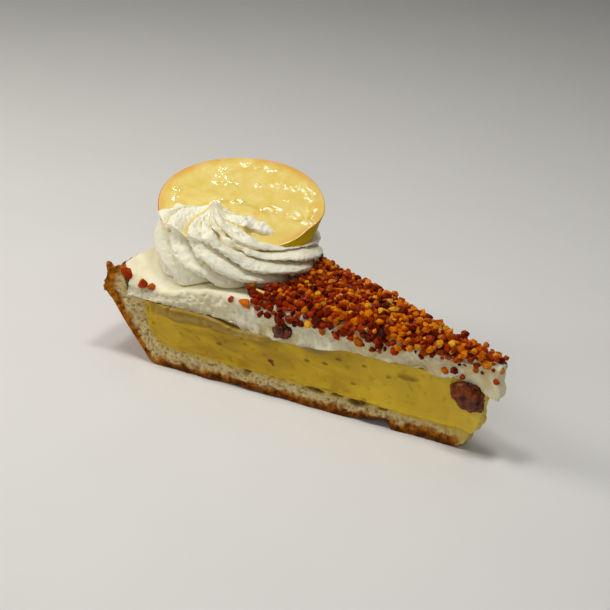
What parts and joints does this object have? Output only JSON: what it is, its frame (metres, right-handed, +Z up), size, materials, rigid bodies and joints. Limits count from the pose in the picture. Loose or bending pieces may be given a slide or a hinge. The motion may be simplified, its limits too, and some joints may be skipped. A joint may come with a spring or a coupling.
{
  "type": "custard tart slice",
  "caption": "Wedge of custard tart in a baked dough shell, topped with whipped cream, nut brittle, a piped rosette and a glazed apple slice; served as one portion.",
  "frame": {"origin": "middle of the slice's bounding box, on the flat underside of the shell", "axes": "+Z up, +X along the slice from the rim to the tip, -Y out of the near cut face"},
  "size_m": [0.1465, 0.0763, 0.0662],
  "materials": {
    "shell": "baked yeast dough: pale open crumb at the cuts, browned skin outside",
    "custard": "smooth moist baked custard, softly glossy",
    "cream": "whipped cream, rough and porous where it was cut",
    "rosette": "piped whipped cream, satin",
    "brittle": "crushed caramel and nut brittle, amber to dark brown, glassy",
    "apple": "apple flesh under a clear glaze, with its skin at the edge",
    "raisin": "moist wrinkled raisin"
  },
  "bodies": {
    "root": {"shell": "shell", "custard": "custard", "cream_layer": "cream", "rosette": "rosette", "brittle": "brittle", "apple_slice": "apple", "raisin_tip": "raisin", "raisin_cut": "raisin"}
  },
  "joints": []
}
